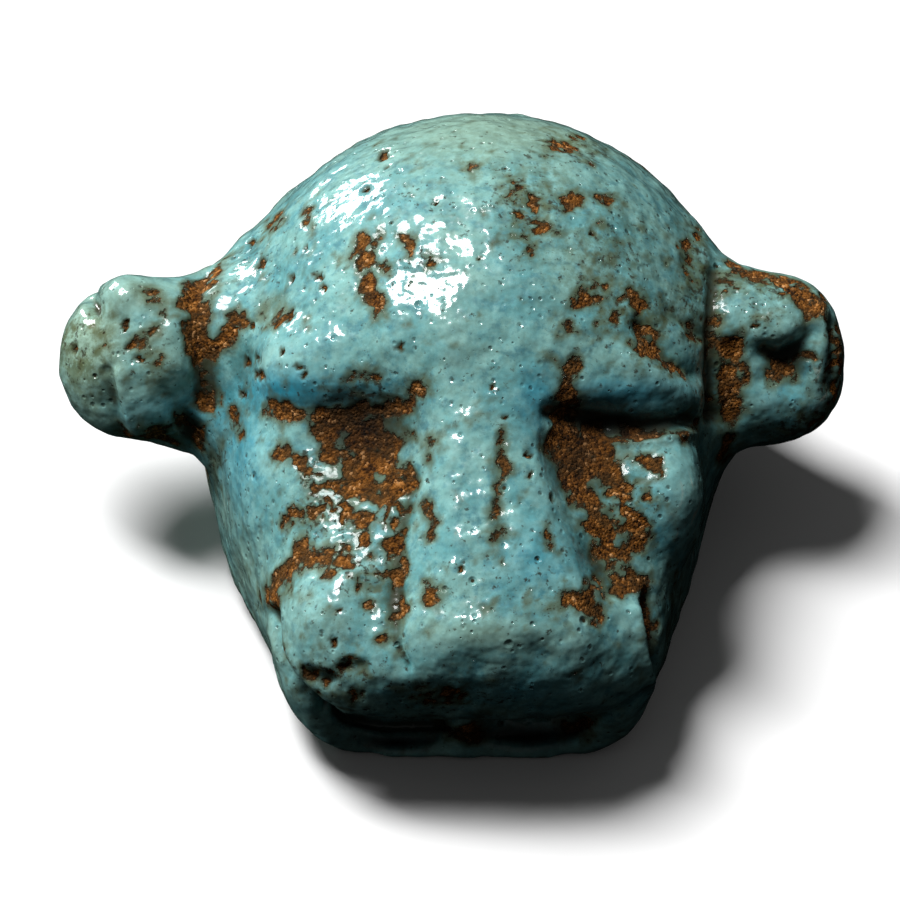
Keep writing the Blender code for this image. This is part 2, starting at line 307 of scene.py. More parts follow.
# Zones of the surface, all as (u, v, half width, half height, amount): thick and blue
DEEP = (
    (-4.0, -0.5, 1.0, 0.35, 1.0), (-2.6, -0.45, 1.1, 0.3, 0.7), (-5.1, -2.0, 0.6, 1.2, 0.5),
    (1.6, -4.4, 0.9, 0.9, 0.35), (1.6, -0.7, 0.4, 0.6, 0.7), (3.6, -0.6, 1.3, 0.35, 0.7),
    (4.3, -3.6, 0.7, 0.8, 0.3), (1.2, -7.2, 1.6, 0.4, 0.4), (-5.4, -1.2, 0.5, 0.8, 0.5),
    (-6.5, -0.9, 0.8, 0.3, 0.5), (-7.6, -1.0, 0.4, 0.4, 0.3), (7.4, -0.9, 0.6, 0.5, 0.3),
)
# thin and pale green
PALE = (
    (0.6, 5.6, 3.4, 1.0, 0.8), (-8.6, 0.6, 1.0, 1.7, 0.9), (-7.3, 1.7, 0.9, 0.5, 0.7),
    (-4.6, -5.2, 0.5, 1.6, 0.3), (0.3, -5.9, 1.4, 0.35, 0.5), (-0.2, 1.8, 0.5, 2.6, 0.25),
    (-7.0, 0.4, 0.9, 0.9, 0.4), (-5.5, -3.3, 0.35, 0.9, 0.5), (-5.0, -4.6, 0.35, 1.0, 0.6),
)
# stained olive, and olive painted shade on the muzzle's front and jaw and across the muzzle's top
OLIVE_STAINS_AND_SHADE = (
    (1.6, 3.9, 1.3, 1.4, 0.7), (2.4, 5.1, 1.2, 0.5, 0.7), (3.9, 1.3, 1.4, 0.8, 1.0),
    (5.3, 1.8, 0.7, 1.6, 0.9), (-0.2, 4.9, 1.6, 0.5, 0.4), (-7.05, -0.05, 0.4, 0.5, 0.8),
    (-8.7, 0.5, 1.0, 1.6, 1.2), (5.9, -0.6, 0.5, 1.6, 0.7), (7.9, -1.2, 0.8, 0.9, 1.0),
    (7.0, 2.0, 1.3, 0.5, 1.0), (7.2, -1.6, 1.0, 0.5, 1.0), (-3.0, -7.0, 1.2, 0.6, 0.7),
    (0.0, -7.9, 3.0, 0.5, 0.8), (-0.6, -7.3, 1.4, 0.4, 0.6), (4.9, -5.3, 0.5, 1.6, 0.9),
    (-3.0, -3.3, 0.9, 0.6, 0.5), (3.6, -3.6, 0.8, 1.0, 0.6), (-7.0, -1.5, 1.0, 0.4, 0.9),
    (3.0, 2.5, 1.5, 1.5, 0.8), (-3.0, -5.6, 1.2, 0.9, 0.4), (1.0, -5.5, 2.2, 0.6, 0.35),
    (-1.0, 1.0, 3.0, 3.0, 0.2), (6.8, 1.2, 0.8, 0.8, 0.5), (4.2, 0.2, 1.0, 0.4, 0.6),
    (-2.4, -0.6, 1.3, 0.35, 0.5),
)
# speckled with wear
SPECKLED = (
    (1.5, 3.7, 0.9, 1.3, 0.9), (2.4, 5.0, 1.0, 0.4, 0.9), (3.8, 1.3, 1.2, 0.6, 0.9),
    (5.2, 2.0, 0.5, 1.2, 1.1), (8.3, -0.3, 0.5, 1.4, 1.3), (7.7, -1.3, 0.8, 0.5, 1.2),
    (-8.9, 0.3, 0.4, 1.2, 0.8), (7.0, 1.9, 1.0, 0.4, 1.0), (-3.2, -3.3, 0.8, 0.5, 1.3),
    (-3.5, -2.2, 0.4, 0.6, 0.9), (-1.7, -3.4, 0.5, 0.5, 0.8), (3.7, -3.0, 0.7, 1.0, 0.9),
    (-2.8, -6.8, 0.9, 0.5, 1.0), (-0.4, -7.3, 1.3, 0.4, 0.8), (-1.0, 3.9, 1.0, 0.6, 0.5),
    (4.8, -5.4, 0.4, 1.2, 1.0), (-5.6, -1.8, 0.4, 1.2, 0.6), (-4.6, -0.4, 0.6, 0.6, 0.25),
    (-2.2, -4.6, 0.9, 0.7, 0.8), (-4.4, 2.4, 0.9, 0.9, 0.5), (6.8, 1.2, 0.7, 0.7, 0.7),
    (-2.6, -0.5, 1.1, 0.3, 1.0), (-6.8, 0.3, 0.6, 0.6, 0.5), (-0.9, 2.4, 0.5, 0.5, 0.6),
    (5.2, -1.0, 0.5, 0.9, 0.7), (3.2, 2.6, 1.3, 1.1, 0.7), (1.2, -4.9, 1.6, 0.8, 0.5),
    (3.8, -0.1, 1.2, 0.5, 0.7), (-2.7, -5.3, 0.9, 0.7, 0.4),
)
# painted shade: near black laid into the mouth's hollows, the nostrils and grooves, under the brows, in the
# eye sockets and in and under the right ear
PAINTED_SHADE_ZONES = (
    (-1.55, -8.42, 1.15, 0.26, 1.0), (1.5, -8.3, 1.2, 0.32, 1.0), (-3.1, -6.9, 0.45, 0.16, 0.8),
    (-2.5, -6.65, 0.35, 0.16, 0.5), (3.5, -1.2, 1.4, 0.35, 0.9), (-2.2, -0.85, 1.3, 0.25, 0.6),
    (-2.3, -1.4, 1.2, 0.7, 0.8), (2.6, -1.8, 0.6, 1.1, 0.65), (3.3, -0.75, 1.5, 0.35, 0.65),
    (-2.6, -0.72, 1.4, 0.28, 0.75), (4.25, -6.2, 0.1, 0.9, 0.7), (7.3, 0.28, 0.5, 0.24, 0.75),
    (-3.7, -7.2, 0.35, 0.35, 0.4), (7.4, -1.9, 0.9, 0.4, 0.6),
)
# painted sheen: pale streaks standing in for the glint on finely wrinkled glaze
SHEEN_STREAK_ZONES = (
    (5.1, -3.8, 0.5, 1.8, 1.0), (-5.6, -3.2, 0.3, 0.7, 0.9), (-5.1, -4.4, 0.3, 0.8, 0.9),
    (-4.75, -5.3, 0.25, 0.6, 0.7), (8.05, -0.4, 0.3, 1.0, 1.0),
)


# ---------------------------------------------------------------- carving and wear

# How far the skin faces the chart's viewer where a mark begins and where it is whole
STROKES_SHOW = (0.0, 0.25)
SWELLINGS_SHOW = (-0.25, 0.1)

# Layers of noise, each as reach, lump size and seed
UNEVEN = ((0.06, 1.9, 1), (0.045, 0.8, 2))
RAGGED_SIDEWAYS = ((0.16, 0.6, 4), (0.08, 0.2, 5))
RAGGED_UPWARDS = ((0.16, 0.6, 6), (0.08, 0.2, 7))
DIMPLED = ((0.028, 0.34, 3),)
GRITTY = ((0.035, 0.22, 11), (0.03, 0.12, 12))

# Noise that breaks up the glaze, each as lump size and seed
COARSE = (0.42, 8)
FINE = (0.17, 9)
DRIFTS = (1.5, 10)

# A patch's edge is drawn in a little and made ragged, the more so the wider the patch is. Then it is
# finely broken, most where the glaze is speckled. The edge of an island falls off more steeply.
DRAWN_IN = 0.02
RAGGED_LEAST, RAGGED_BY_WIDTH = 0.1, 0.8
BROKEN_LEAST, BROKEN_BY_SPECKLING = 0.12, 0.35
SPECKLING_DRAWN_IN = 0.04
ISLAND_SLOPE = 1.5
FADED_REACH = 0.45  # how far the glaze around a patch has faded

# Small specks of loss: the shares of coarse and fine noise in them, and the level that these have to pass
SPECK_SLOPE = 0.5
SPECK_COARSE, SPECK_FINE = 0.5, 0.35
SPECK_LEVEL, SPECK_BY_SPECKLING = 0.57, 0.26

# Wear in drifts and in hollows, held back on the face, where the patches are charted
DRIFT_SHARE, DRIFT_LEVEL, DRIFT_COARSE = 0.5, 0.4, 0.15
HOLLOW_SHARE, HOLLOW_RANGE = 2.0, (-0.02, 0.08)
WEAR_HELD_BACK = 0.3

# The step down from the glaze to the core: the losses that it lies between, and its depth
STEP_RANGE = (-0.08, 0.10)
STEP_DEPTH = 0.03

# A pit: its depth, its rim as shares of its radius, and the loss inside it
PIT_DEPTH = 0.11
PIT_WIDER = 0.02
PIT_RIM = (0.6, 1.1)
PIT_LOSS, PIT_LOSS_LEVEL = 0.3, 0.2

# What the sides that the chart's viewer doesn't see have of the pale and of the olive
PALE_UNSEEN, OLIVE_UNSEEN = 0.5, 0.3


def chart_of(points, centre):
    """The points' places on the face chart."""
    side, front, up = points[:, 0] - centre.x, centre.y - points[:, 1], points[:, 2] - centre.z
    return side, up * math.cos(FACE_TILT) - front * math.sin(FACE_TILT)


def facing_of(normals):
    """1 where the skin faces the chart's viewer, 0 where it is seen edge on, and less where turned away."""
    return -normals[:, 1] * math.cos(FACE_TILT) + normals[:, 2] * math.sin(FACE_TILT)


def carving(points, u, v, facing):
    """The lift by the unevenness of a hand-made thing, the swellings and the modeller's strokes."""
    lift = lumps(points, UNEVEN)
    near = smoothstep(*SWELLINGS_SHOW, facing)
    for middle_u, middle_v, half_u, half_v, height in SWELLINGS:
        reach = ((u - middle_u) / half_u) ** 2 + ((v - middle_v) / half_v) ** 2
        lift += near * height * np.exp(-reach)
    seen = smoothstep(*STROKES_SHOW, facing)
    for path, half_width, height in STROKES:
        lift += seen * height * np.exp(-((along(u, v, path) / half_width) ** 2))
    return lift


def glaze_loss(points, u, v, seen, cavity, speckled):
    """The loss, above 0 where the glaze has gone, and the faded rings around the charted patches."""
    coarse = noise_at(points, *COARSE)
    fine = noise_at(points, *FINE)
    charted = np.full(len(points), -1.0)
    for half_width, *path in LOSSES:
        ragged = (RAGGED_LEAST + RAGGED_BY_WIDTH * half_width) * coarse
        charted = np.maximum(charted, half_width - DRAWN_IN - along(u, v, path) + ragged)
    for island_u, island_v, radius in ISLANDS:
        charted = np.minimum(charted, ISLAND_SLOPE * (np.hypot(u - island_u, v - island_v) - radius))
    nearby = seen * smoothstep(-FADED_REACH, 0.0, charted)
    charted += (BROKEN_LEAST + BROKEN_BY_SPECKLING * speckled) * fine - SPECKLING_DRAWN_IN * speckled

    specks = SPECK_COARSE * coarse + SPECK_FINE * fine - SPECK_LEVEL + SPECK_BY_SPECKLING * speckled
    drifts = DRIFT_SHARE * (noise_at(points, *DRIFTS) - DRIFT_LEVEL) + DRIFT_COARSE * coarse
    worn = drifts + HOLLOW_SHARE * np.clip(cavity, *HOLLOW_RANGE) - WEAR_HELD_BACK * seen
    uncharted = np.maximum(SPECK_SLOPE * specks, worn)
    return np.maximum(charted * seen - (1 - seen), uncharted), nearby


def open_pits(u, v, seen):
    """1 in the charted pits and 0 outside them."""
    pitted = np.zeros(len(u))
    for pit_u, pit_v, radius in PITS:
        reach = np.hypot(u - pit_u, v - pit_v) / (radius + PIT_WIDER)
        pitted = np.maximum(pitted, seen * (1 - smoothstep(*PIT_RIM, reach)))
    return pitted


def add_attributes(mesh, marks):
    for name, values in marks.items():
        attribute = mesh.attributes.new(name, "FLOAT", "POINT")
        attribute.data.foreach_set("value", values.astype(np.float32))


def build_skin():
    low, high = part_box(NODE)
    centre = Vector(((low.x + high.x) / 2, (low.y + high.y) / 2, low.z)) / MM + SKULL_CENTRE
    mesh = fine_copy(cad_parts[NODE])
    neighbours = neighbours_of(mesh)
    points = smoothed(points_of(mesh), neighbours, SMOOTHINGS)
    set_points(mesh, points)
    normals = normals_of(mesh)
    u, v = chart_of(points, centre)
    facing = facing_of(normals)

    points = points + normals * carving(points, u, v, facing)[:, None]
    set_points(mesh, points)
    normals = normals_of(mesh)
    cavity = ((smoothed(points, neighbours, CAVITY_SMOOTHINGS) - points) * normals).sum(1)

    # the outlines of the patches and the pits are ragged, while the tints are soft
    ragged_u = u + lumps(points, RAGGED_SIDEWAYS)
    ragged_v = v + lumps(points, RAGGED_UPWARDS)
    seen = smoothstep(*STROKES_SHOW, facing)
    speckled = tint(u, v, SPECKLED) * seen
    loss, nearby = glaze_loss(points, ragged_u, ragged_v, seen, cavity, speckled)
    pitted = open_pits(ragged_u, ragged_v, seen)
    add_attributes(mesh, {
        "loss": np.maximum(loss, PIT_LOSS * pitted - PIT_LOSS_LEVEL),
        "nearby": nearby,
        "cavity": cavity,
        "deep": tint(u, v, DEEP) * seen,
        "pale": np.maximum(tint(u, v, PALE) * seen, PALE_UNSEEN * (1 - seen)),
        "olive_and_shade": np.maximum(tint(u, v, OLIVE_STAINS_AND_SHADE) * seen, OLIVE_UNSEEN * (1 - seen)),
        "pitted": pitted,
        "speckled": speckled,
        "painted_shade": tint(u, v, PAINTED_SHADE_ZONES) * seen,
        "painted_sheen": tint(u, v, SHEEN_STREAK_ZONES),
    })

    bare = smoothstep(*STEP_RANGE, loss)
    dents = bare * (STEP_DEPTH + lumps(points, GRITTY)) + (1 - bare) * lumps(points, DIMPLED)
    points = points - normals * (dents + PIT_DEPTH * pitted)[:, None]
    points[:, 2] = np.maximum(points[:, 2], low.z / MM)
    set_points(mesh, points)
    mesh.transform(Matrix.Scale(MM, 4))
    mesh.shade_smooth()
    skin = bpy.data.objects.new("glazed_head", mesh)
    bpy.context.scene.collection.objects.link(skin)
    return skin


# ---------------------------------------------------------------- the material's tools

# Where a dot's dark and its dent begin and where they are whole, as shares of its radius
DOT_DARK = (1.2, 0.6)
DOT_DENT = (2.2, 0.5)


class Nodes:
    """Short calls to build a node tree."""

    def __init__(self, tree):
        self.tree = tree
        tree.nodes.clear()

    def add(self, kind, inputs=(), **settings):
        node = self.tree.nodes.new(kind)
        for name, value in settings.items():
            setattr(node, name, value)
        for key, value in dict(inputs).items():
            self.feed(node.inputs[key], value)
        return node

    def feed(self, socket, value):
        if isinstance(value, bpy.types.NodeSocket):
            self.tree.links.new(value, socket)
        else:
            socket.default_value = value

    def math(self, operation, *values):
        node = self.tree.nodes.new("ShaderNodeMath")
        node.operation = operation
        for socket, value in zip(node.inputs, values):
            self.feed(socket, value)
        return node.outputs[0]

    def times(self, first, *others):
        for other in others:
            first = self.math("MULTIPLY", first, other)
        return first

    def most(self, first, *others):
        for other in others:
            first = self.math("MAXIMUM", first, other)
        return first

    def add_share(self, value, share, base):
        """The base and a share of the value."""
        return self.math("MULTIPLY_ADD", value, share, base)

    def minus(self, value, less):
        return self.math("SUBTRACT", value, less)

    def attribute(self, name):
        return self.add("ShaderNodeAttribute", attribute_name=name).outputs["Fac"]

    def noise(self, where, size, detail, roughness):
        """Noise from 0 to 1 with lumps about size millimetres across."""
        return self.add(
            "ShaderNodeTexNoise",
            {"Vector": where, "Scale": 1 / size, "Detail": detail, "Roughness": roughness},
        ).outputs["Fac"]

    def cells(self, where, size):
        return self.add("ShaderNodeTexVoronoi", {"Vector": where, "Scale": 1 / size, "Randomness": 1.0})

    def ramp(self, value, low, high, low_result=0.0, high_result=1.0):
        """A soft step of the value, from low to high."""
        limits = {"From Min": low, "From Max": high, "To Min": low_result, "To Max": high_result}
        return self.add(
            "ShaderNodeMapRange", {"Value": value, **limits}, interpolation_type="SMOOTHSTEP"
        ).outputs["Result"]

    def clouds(self, where, look, *masks):
        """Clouds of noise inside the masks, with a look like those listed under faience."""
        strength, size, detail, roughness, low, high = look
        shape = self.ramp(self.noise(where, size, detail, roughness), low, high)
        return self.times(*masks, shape, strength)

    def dots(self, where, spacing, share, least, spread):
        """Dark dots, and the wider dents around them."""
        cells = self.cells(where, spacing)
        draw = self.add("ShaderNodeSeparateColor", {0: cells.outputs["Color"]})
        chosen = self.math("GREATER_THAN", draw.outputs[0], share)
        radius = self.add_share(draw.outputs[1], spread / spacing, least / spacing)
        reach = self.math("DIVIDE", cells.outputs["Distance"], radius)
        dark = self.times(chosen, self.ramp(reach, *DOT_DARK))
        dent = self.times(chosen, self.ramp(reach, *DOT_DENT))
        return dark, dent

    def blend(self, amount, a, b):
        node = self.add("ShaderNodeMix", data_type="RGBA")
        self.feed(node.inputs[0], amount)
        self.feed(node.inputs[6], a)
        self.feed(node.inputs[7], b)
        return node.outputs[2]


# ---------------------------------------------------------------- faience

def colour(r, g, b):
    return (r, g, b, 1.0)


GLAZE_PALER = colour(0.215, 0.46, 0.44)
GLAZE_DEEPER = colour(0.105, 0.33, 0.355)
GLAZE_DIMPLED = colour(0.055, 0.22, 0.27)
GLAZE_MILKY = colour(0.26, 0.51, 0.49)
GLAZE_SETTLED = colour(0.030, 0.165, 0.18)
GLAZE_POOLED = colour(0.014, 0.32, 0.47)
GLAZE_THIN = colour(0.27, 0.42, 0.33)
GLAZE_STAIN_AND_SHADE = colour(0.080, 0.115, 0.058)
GLAZE_MOTTLED = colour(0.040, 0.095, 0.070)
GLAZE_EDGE = colour(0.065, 0.072, 0.027)
# painted sheen: the pale of the glint on wrinkled glaze
PAINTED_SHEEN = colour(0.34, 0.38, 0.33)
# the dark of specks and pits, also used as painted shade in creases and as painted shadow at the glaze's
# broken edge
DIRT_AND_PAINTED_SHADE = colour(0.024, 0.022, 0.011)
# painted shade: the near black that the hollows and undersides are painted with
PAINTED_SHADE_BLACK = colour(0.004, 0.0035, 0.003)
CORE_DARK = colour(0.022, 0.009, 0.003)
CORE_BROWN = colour(0.205, 0.075, 0.011)
CORE_ORANGE = colour(0.50, 0.22, 0.062)
CORE_DULL = colour(0.055, 0.030, 0.010)
CORE_BRIGHT = colour(0.62, 0.33, 0.14)

# Clouds, as strength, lump size, detail, roughness, and the noise where they begin and where they are whole
PALER_CLOUDS = (1.0, 1.0, 5, 0.6, 0.36, 0.64)
DIMPLE_CLOUDS = (0.85, 0.30, 5, 0.65, 0.46, 0.68)
MILKY_CLOUDS = (0.6, 0.42, 5, 0.7, 0.52, 0.72)
MOTTLES = (0.55, 0.36, 4, 0.6, 0.47, 0.60)
STAIN_AND_SHADE_CLOUDS = (0.75, 0.38, 6, 0.72, 0.40, 0.60)
SHEEN_STREAK_CLOUDS = (0.8, 1.0, 3, 0.6, 0.56, 0.72)
FADED_CLOUDS = (0.9, 0.28, 4, 0.65, 0.40, 0.62)
DULL_DRIFTS = (0.65, 0.6, 4, 0.5, 0.44, 0.62)

# Noise, as lump size, detail and roughness
EDGE_NOISE = (0.20, 5, 0.7)
HOLLOW_NOISE = (0.45, 5, 0.65)
SPOT_NOISE = (0.16, 4, 0.65)
SPOT_DRIFTS = (1.2, 2, 0.5)
PACKING_NOISE = (0.22, 6, 0.8)
PEEL_NOISE = (0.27, 1, 0.4)
GRIT_NOISE = (0.13, 5, 0.75)
NOISE_MIDDLE = 0.5

# Where one look gives way to the next: the values where that begins and where it is whole, how far noise
# shifts it, and its strength
BARE_RANGE, BARE_SHIFT = (-0.02, 0.05), 0.42
THIN_RANGE, THIN_SHIFT, THIN_STRENGTH = (-0.31, 0.0), 0.2, 0.85
# painted shade: the glaze darkened in its creases, where the cavity is deep
CREASE_SHADE_RANGE, CREASE_SHADE_SHIFT, CREASE_SHADE_STRENGTH = (0.03, 0.11), 0.05, 0.8
SETTLED_RANGE, SETTLED_STRENGTH = (0.0, 0.07), 0.75
RIDGE_RANGE, RIDGE_STRENGTH = (-0.02, -0.09), 0.4
HOLLOW_SHIFT = 0.22
# painted shadow: the core darkened just inside the broken edge of the glaze
EDGE_SHADOW_RANGE, EDGE_SHADOW_STRENGTH = (0.16, 0.02), 0.6

# Dots, as their spacing, the share of them left out, their least radius and the spread of their radii
PINHOLES = (0.62, 0.55, 0.018, 0.045)
FLECKS = (0.22, 0.6, 0.010, 0.034)
FLECK_STRENGTH = 0.7
SPOT_BY_SPECKLING, SPOT_BY_DRIFTS = 0.11, 0.14
SPOT_RANGE, SPOT_STRENGTH = (0.68, 0.80), 0.85

# The length of the painted sheen's lumps to the side, down the face and out of it
SHEEN_STREAK_LENGTHS = (0.25, 1.0, 0.10)

# The core's grains, and how they and the noise make up the packing that the core's colours follow
GRAIN_SIZE = 0.07
PACKING_BY_NOISE, PACKING_BY_GRAIN = 1.35, 0.22
BROWN_RANGE, ORANGE_RANGE = (0.58, 0.90), (0.84, 1.04)
BRIGHT_GRAINS, BRIGHT_RANGE, BRIGHT_STRENGTH = 0.95, (0.80, 0.90), 0.6

# Relief
PEEL_DEPTH, PINHOLE_DEPTH, FLECK_DEPTH = 0.042, 0.05, 0.02
GRIT_DEPTH, GRIT_LEVEL, GRAIN_DEPTH = 0.10, -0.05, 0.06

# Gloss
GLAZE_ROUGHNESS, CORE_ROUGHNESS = 0.45, 0.9
BODY_SPECULAR = 0.1
COAT_ROUGHNESS = 0.13
COAT_LOST_NEARBY = -0.75


def sheen_lines(n, at):
    """Painted sheen: fine pale lines down the sides of the face, for the glint on wrinkled glaze."""
    side = (1.0, 0.0, 0.0)
    down = (0.0, math.sin(FACE_TILT), math.cos(FACE_TILT))
    outwards = (0.0, -math.cos(FACE_TILT), math.sin(FACE_TILT))
    stretched = n.add("ShaderNodeCombineXYZ")
    for socket, axis, length in zip(stretched.inputs, (side, down, outwards), SHEEN_STREAK_LENGTHS):
        turned = n.add("ShaderNodeVectorMath", {0: at, 1: axis}, operation="DOT_PRODUCT")
        n.feed(socket, n.math("DIVIDE", turned.outputs["Value"], length))
    return n.times(n.attribute("painted_sheen"), n.clouds(stretched.outputs[0], SHEEN_STREAK_CLOUDS))


def glaze_colour(n, at, edge, dark):
    """Clouds of paler and deeper turquoise, blue where pooled, green where thin, olive stains and painted
    shade, pale painted sheen.
    """
    cavity = n.attribute("cavity")
    hollow = n.add_share(n.minus(n.noise(at, *HOLLOW_NOISE), NOISE_MIDDLE), HOLLOW_SHIFT, cavity)
    thin = n.ramp(n.add_share(edge, THIN_SHIFT, n.attribute("loss")), *THIN_RANGE)
    thin = n.most(thin, n.clouds(at, FADED_CLOUDS, n.attribute("nearby")))
    crease_shade = n.ramp(n.add_share(edge, CREASE_SHADE_SHIFT, cavity), *CREASE_SHADE_RANGE)

    glaze = n.blend(n.clouds(at, PALER_CLOUDS), GLAZE_DEEPER, GLAZE_PALER)
    glaze = n.blend(n.clouds(at, DIMPLE_CLOUDS), glaze, GLAZE_DIMPLED)
    glaze = n.blend(n.clouds(at, MILKY_CLOUDS), glaze, GLAZE_MILKY)
    glaze = n.blend(n.times(n.ramp(hollow, *SETTLED_RANGE), SETTLED_STRENGTH), glaze, GLAZE_SETTLED)
    glaze = n.blend(n.times(n.ramp(hollow, *RIDGE_RANGE), RIDGE_STRENGTH), glaze, GLAZE_MILKY)
    glaze = n.blend(n.clouds(at, MOTTLES, n.attribute("speckled")), glaze, GLAZE_MOTTLED)
    glaze = n.blend(n.attribute("deep"), glaze, GLAZE_POOLED)
    glaze = n.blend(n.attribute("pale"), glaze, GLAZE_THIN)
    # olive stains, with olive painted shade on the muzzle's front, jaw and top
    glaze = n.blend(n.clouds(at, STAIN_AND_SHADE_CLOUDS, n.attribute("olive_and_shade")), glaze, GLAZE_STAIN_AND_SHADE)
    # painted sheen in pale streaks down the sides
    glaze = n.blend(sheen_lines(n, at), glaze, PAINTED_SHEEN)
    glaze = n.blend(n.times(thin, THIN_STRENGTH), glaze, GLAZE_EDGE)
    # painted shade in the creases
    glaze = n.blend(n.times(crease_shade, CREASE_SHADE_STRENGTH), glaze, DIRT_AND_PAINTED_SHADE)
    return n.blend(dark, glaze, DIRT_AND_PAINTED_SHADE)


def core_colour(n, at, loss, grains):
    """Grains from near black to orange in duller drifts, and painted shadow along the glaze's broken edge.
    """
    grain = n.add("ShaderNodeSeparateColor", {0: grains.outputs["Color"]}).outputs[0]
    packing = n.add_share(n.noise(at, *PACKING_NOISE), PACKING_BY_NOISE, n.times(grain, PACKING_BY_GRAIN))
    bright = n.times(n.math("GREATER_THAN", grain, BRIGHT_GRAINS), n.ramp(packing, *BRIGHT_RANGE))
    core = n.blend(n.ramp(packing, *BROWN_RANGE), CORE_DARK, CORE_BROWN)
    core = n.blend(n.ramp(packing, *ORANGE_RANGE), core, CORE_ORANGE)
    core = n.blend(n.clouds(at, DULL_DRIFTS), core, CORE_DULL)
    core = n.blend(n.times(bright, BRIGHT_STRENGTH), core, CORE_BRIGHT)
    # painted shadow of the glaze's broken edge on the core
    return n.blend(n.times(n.ramp(loss, *EDGE_SHADOW_RANGE), EDGE_SHADOW_STRENGTH), core, DIRT_AND_PAINTED_SHADE)


def relief(n, at, bare, pinhole_dent, fleck_dent, grains):
    """The glaze's dents and the core's grit, in millimetres."""
    peel = n.times(n.noise(at, *PEEL_NOISE), PEEL_DEPTH)
    peel = n.minus(peel, n.times(pinhole_dent, PINHOLE_DEPTH))
    peel = n.minus(peel, n.times(fleck_dent, FLECK_DEPTH))
    grit = n.add_share(n.noise(at, *GRIT_NOISE), GRIT_DEPTH, GRIT_LEVEL)
    grit = n.minus(grit, n.times(grains.outputs["Distance"], GRAIN_DEPTH))
    height = n.add("ShaderNodeMix", data_type="FLOAT")
    n.feed(height.inputs[0], bare)
    n.feed(height.inputs[2], peel)
    n.feed(height.inputs[3], grit)
    bump = n.add("ShaderNodeBump", {"Strength": 1.0, "Distance": MM, "Height": height.outputs[0]})
    return bump.outputs[0]


def faience():
    material = bpy.data.materials.new("worn_faience")
    material.use_nodes = True
    n = Nodes(material.node_tree)
    where = n.add("ShaderNodeVectorMath", {1: (1 / MM,) * 3}, operation="MULTIPLY")
    n.feed(where.inputs[0], n.add("ShaderNodeTexCoord").outputs["Object"])
    at = where.outputs[0]

    # 1 where the core shows, 0 where the glaze is whole
    edge = n.minus(n.noise(at, *EDGE_NOISE), NOISE_MIDDLE)
    loss = n.add_share(edge, BARE_SHIFT, n.attribute("loss"))
    bare = n.ramp(loss, *BARE_RANGE)

    # pinholes, a few on every square millimetre, finer flecks, and spots where the glaze is speckled
    pinhole, pinhole_dent = n.dots(at, *PINHOLES)
    fleck, fleck_dent = n.dots(at, *FLECKS)
    spotted = n.add_share(n.attribute("speckled"), SPOT_BY_SPECKLING, n.noise(at, *SPOT_NOISE))
    spotted = n.add_share(n.noise(at, *SPOT_DRIFTS), SPOT_BY_DRIFTS, spotted)
    spot = n.times(n.ramp(spotted, *SPOT_RANGE), SPOT_STRENGTH)
    dark = n.most(pinhole, n.attribute("pitted"), n.times(fleck, FLECK_STRENGTH), spot)

    grains = n.cells(at, GRAIN_SIZE)
    surface = n.blend(bare, glaze_colour(n, at, edge, dark), core_colour(n, at, loss, grains))
    # painted shade: the surface blended to near black in the shaded zones
    surface = n.blend(n.attribute("painted_shade"), surface, PAINTED_SHADE_BLACK)
    bumps = relief(n, at, bare, pinhole_dent, fleck_dent, grains)

    # a glassy coat wherever the glaze is whole, free of dark specks and out of the painted shade
    dull = n.most(bare, dark, n.attribute("painted_shade"))
    gloss = n.add_share(n.attribute("nearby"), COAT_LOST_NEARBY, 1.0)
    shader = n.add("ShaderNodeBsdfPrincipled", {
        "Base Color": surface,
        "Normal": bumps,
        "Coat Normal": bumps,
        "Roughness": n.ramp(dull, 0.0, 1.0, low_result=GLAZE_ROUGHNESS, high_result=CORE_ROUGHNESS),
        "Coat Weight": n.times(n.minus(1.0, dull), gloss),
        "Coat Roughness": COAT_ROUGHNESS,
        "Specular IOR Level": BODY_SPECULAR,
    })
    n.add("ShaderNodeOutputMaterial", {"Surface": shader.outputs[0]})
    return material


# ---------------------------------------------------------------- floor, light and camera

FLOOR_SIDE = 4.0  # metres
FLOOR_COLOUR = colour(0.75, 0.75, 0.75)
FLOOR_ROUGHNESS = 0.9
WHITE = colour(1, 1, 1)

PHOTO_ELEVATION = math.radians(50)
CAMERA_DISTANCE = 0.2  # metres
CAMERA_NEAR_CLIP = 0.01  # metres
CAMERA_VIEW = 20.64  # how much is seen from side to side, at the skull
LOOK_SIDE, LOOK_UP = -0.34, -1.83  # the picture's middle from the skull's centre, as seen

# The key light is a tall softbox, and the rim and side lights are wide suns that reach the head alone
KEY_FROM = Vector((-0.35, 0.24, 1.0))
KEY_DISTANCE, KEY_WIDTH, KEY_HEIGHT = 0.5, 0.13, 0.24  # metres
KEY_POWER = 4.25
RIM_FROM = Vector((-0.56, 0.80, 0.24))
RIM_STRENGTH, RIM_ANGLE = 1.8, math.radians(20)
SIDE_FROM = Vector((-1.0, 0.25, 0.16))
SIDE_STRENGTH, SIDE_ANGLE = 1.9, math.radians(40)

# The sky's faint light, and how high a direction points where it begins and where it is whole
SKY_STRENGTH = 0.085
SKY_RANGE = (-0.1, 0.7)


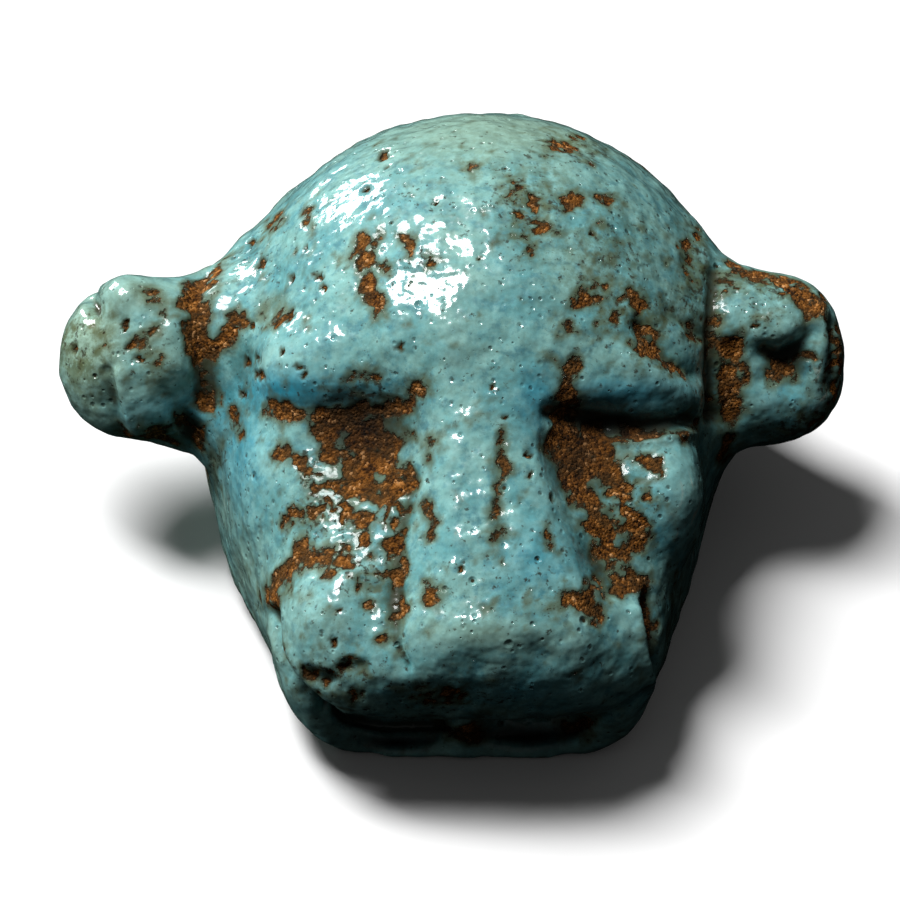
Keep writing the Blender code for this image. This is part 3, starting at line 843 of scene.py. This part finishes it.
def build_floor():
    mesh = bpy.data.meshes.new("floor")
    shape = bmesh.new()
    bmesh.ops.create_grid(shape, x_segments=1, y_segments=1, size=FLOOR_SIDE / 2)
    shape.to_mesh(mesh)
    shape.free()
    floor = bpy.data.objects.new("floor", mesh)
    bpy.context.scene.collection.objects.link(floor)
    material = bpy.data.materials.new("pale_floor")
    material.use_nodes = True
    shader = material.node_tree.nodes["Principled BSDF"]
    shader.inputs["Base Color"].default_value = FLOOR_COLOUR
    shader.inputs["Roughness"].default_value = FLOOR_ROUGHNESS
    shader.inputs["Specular IOR Level"].default_value = 0.0
    mesh.materials.append(material)
    # the floor throws no light back, so the head's front stays in the deep shade of a dark studio
    floor.visible_diffuse = False
    floor.visible_glossy = False


def add_light(name, kind, come_from, energy, only=None):
    light = bpy.data.lights.new(name, kind)
    light.energy = energy
    lamp = bpy.data.objects.new(name, light)
    lamp.rotation_euler = (-come_from).to_track_quat("-Z", "Y").to_euler()
    bpy.context.scene.collection.objects.link(lamp)
    if only is not None:
        lamp.light_linking.receiver_collection = only
    return lamp


def build_light(piece):
    key = add_light("key", "AREA", KEY_FROM, KEY_POWER)
    key.location = KEY_FROM.normalized() * KEY_DISTANCE
    key.data.shape = "RECTANGLE"
    key.data.size = KEY_WIDTH
    key.data.size_y = KEY_HEIGHT
    flagged = bpy.data.collections.new("lit_by_side_and_rim")
    flagged.objects.link(piece)
    rim = add_light("rim", "SUN", RIM_FROM, RIM_STRENGTH, flagged)
    rim.data.angle = RIM_ANGLE
    side = add_light("side", "SUN", SIDE_FROM, SIDE_STRENGTH, flagged)
    side.data.angle = SIDE_ANGLE
    side.visible_glossy = False
    bpy.context.scene.view_settings.view_transform = "Standard"


def build_world():
    """What the camera sees behind the floor is white, and the light is a faint one from above."""
    world = bpy.data.worlds.new("studio")
    world.use_nodes = True
    bpy.context.scene.world = world
    n = Nodes(world.node_tree)
    seen = n.add("ShaderNodeBackground", {"Color": WHITE, "Strength": 1.0})
    towards = n.add("ShaderNodeSeparateXYZ", {0: n.add("ShaderNodeTexCoord").outputs["Generated"]})
    strength = n.ramp(towards.outputs["Z"], *SKY_RANGE, high_result=SKY_STRENGTH)
    lit = n.add("ShaderNodeBackground", {"Color": WHITE, "Strength": strength})
    mix = n.add("ShaderNodeMixShader", {0: n.add("ShaderNodeLightPath").outputs["Is Camera Ray"]})
    n.feed(mix.inputs[1], lit.outputs[0])
    n.feed(mix.inputs[2], seen.outputs[0])
    n.add("ShaderNodeOutputWorld", {"Surface": mix.outputs[0]})


def build_camera():
    low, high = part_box(NODE)
    skull = Vector(((low.x + high.x) / 2, (low.y + high.y) / 2, low.z)) + SKULL_CENTRE * MM
    forward = Vector((0, math.cos(PHOTO_ELEVATION), -math.sin(PHOTO_ELEVATION)))
    upward = Vector((1, 0, 0)).cross(forward)
    target = skull + Vector((LOOK_SIDE * MM, 0, 0)) + upward * LOOK_UP * MM
    data = bpy.data.cameras.new("camera")
    data.angle = 2 * math.atan(CAMERA_VIEW * MM / 2 / CAMERA_DISTANCE)
    data.clip_start = CAMERA_NEAR_CLIP
    camera = bpy.data.objects.new("camera", data)
    camera.location = target - forward * CAMERA_DISTANCE
    camera.rotation_euler = forward.to_track_quat("-Z", "Y").to_euler()
    bpy.context.scene.collection.objects.link(camera)
    bpy.context.scene.camera = camera


# ---------------------------------------------------------------- the scene

build_camera()
skin = build_skin()
skin.data.materials.clear()
skin.data.materials.append(faience())
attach(skin, "root")
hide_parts(NODE)
build_floor()
build_light(skin)
build_world()
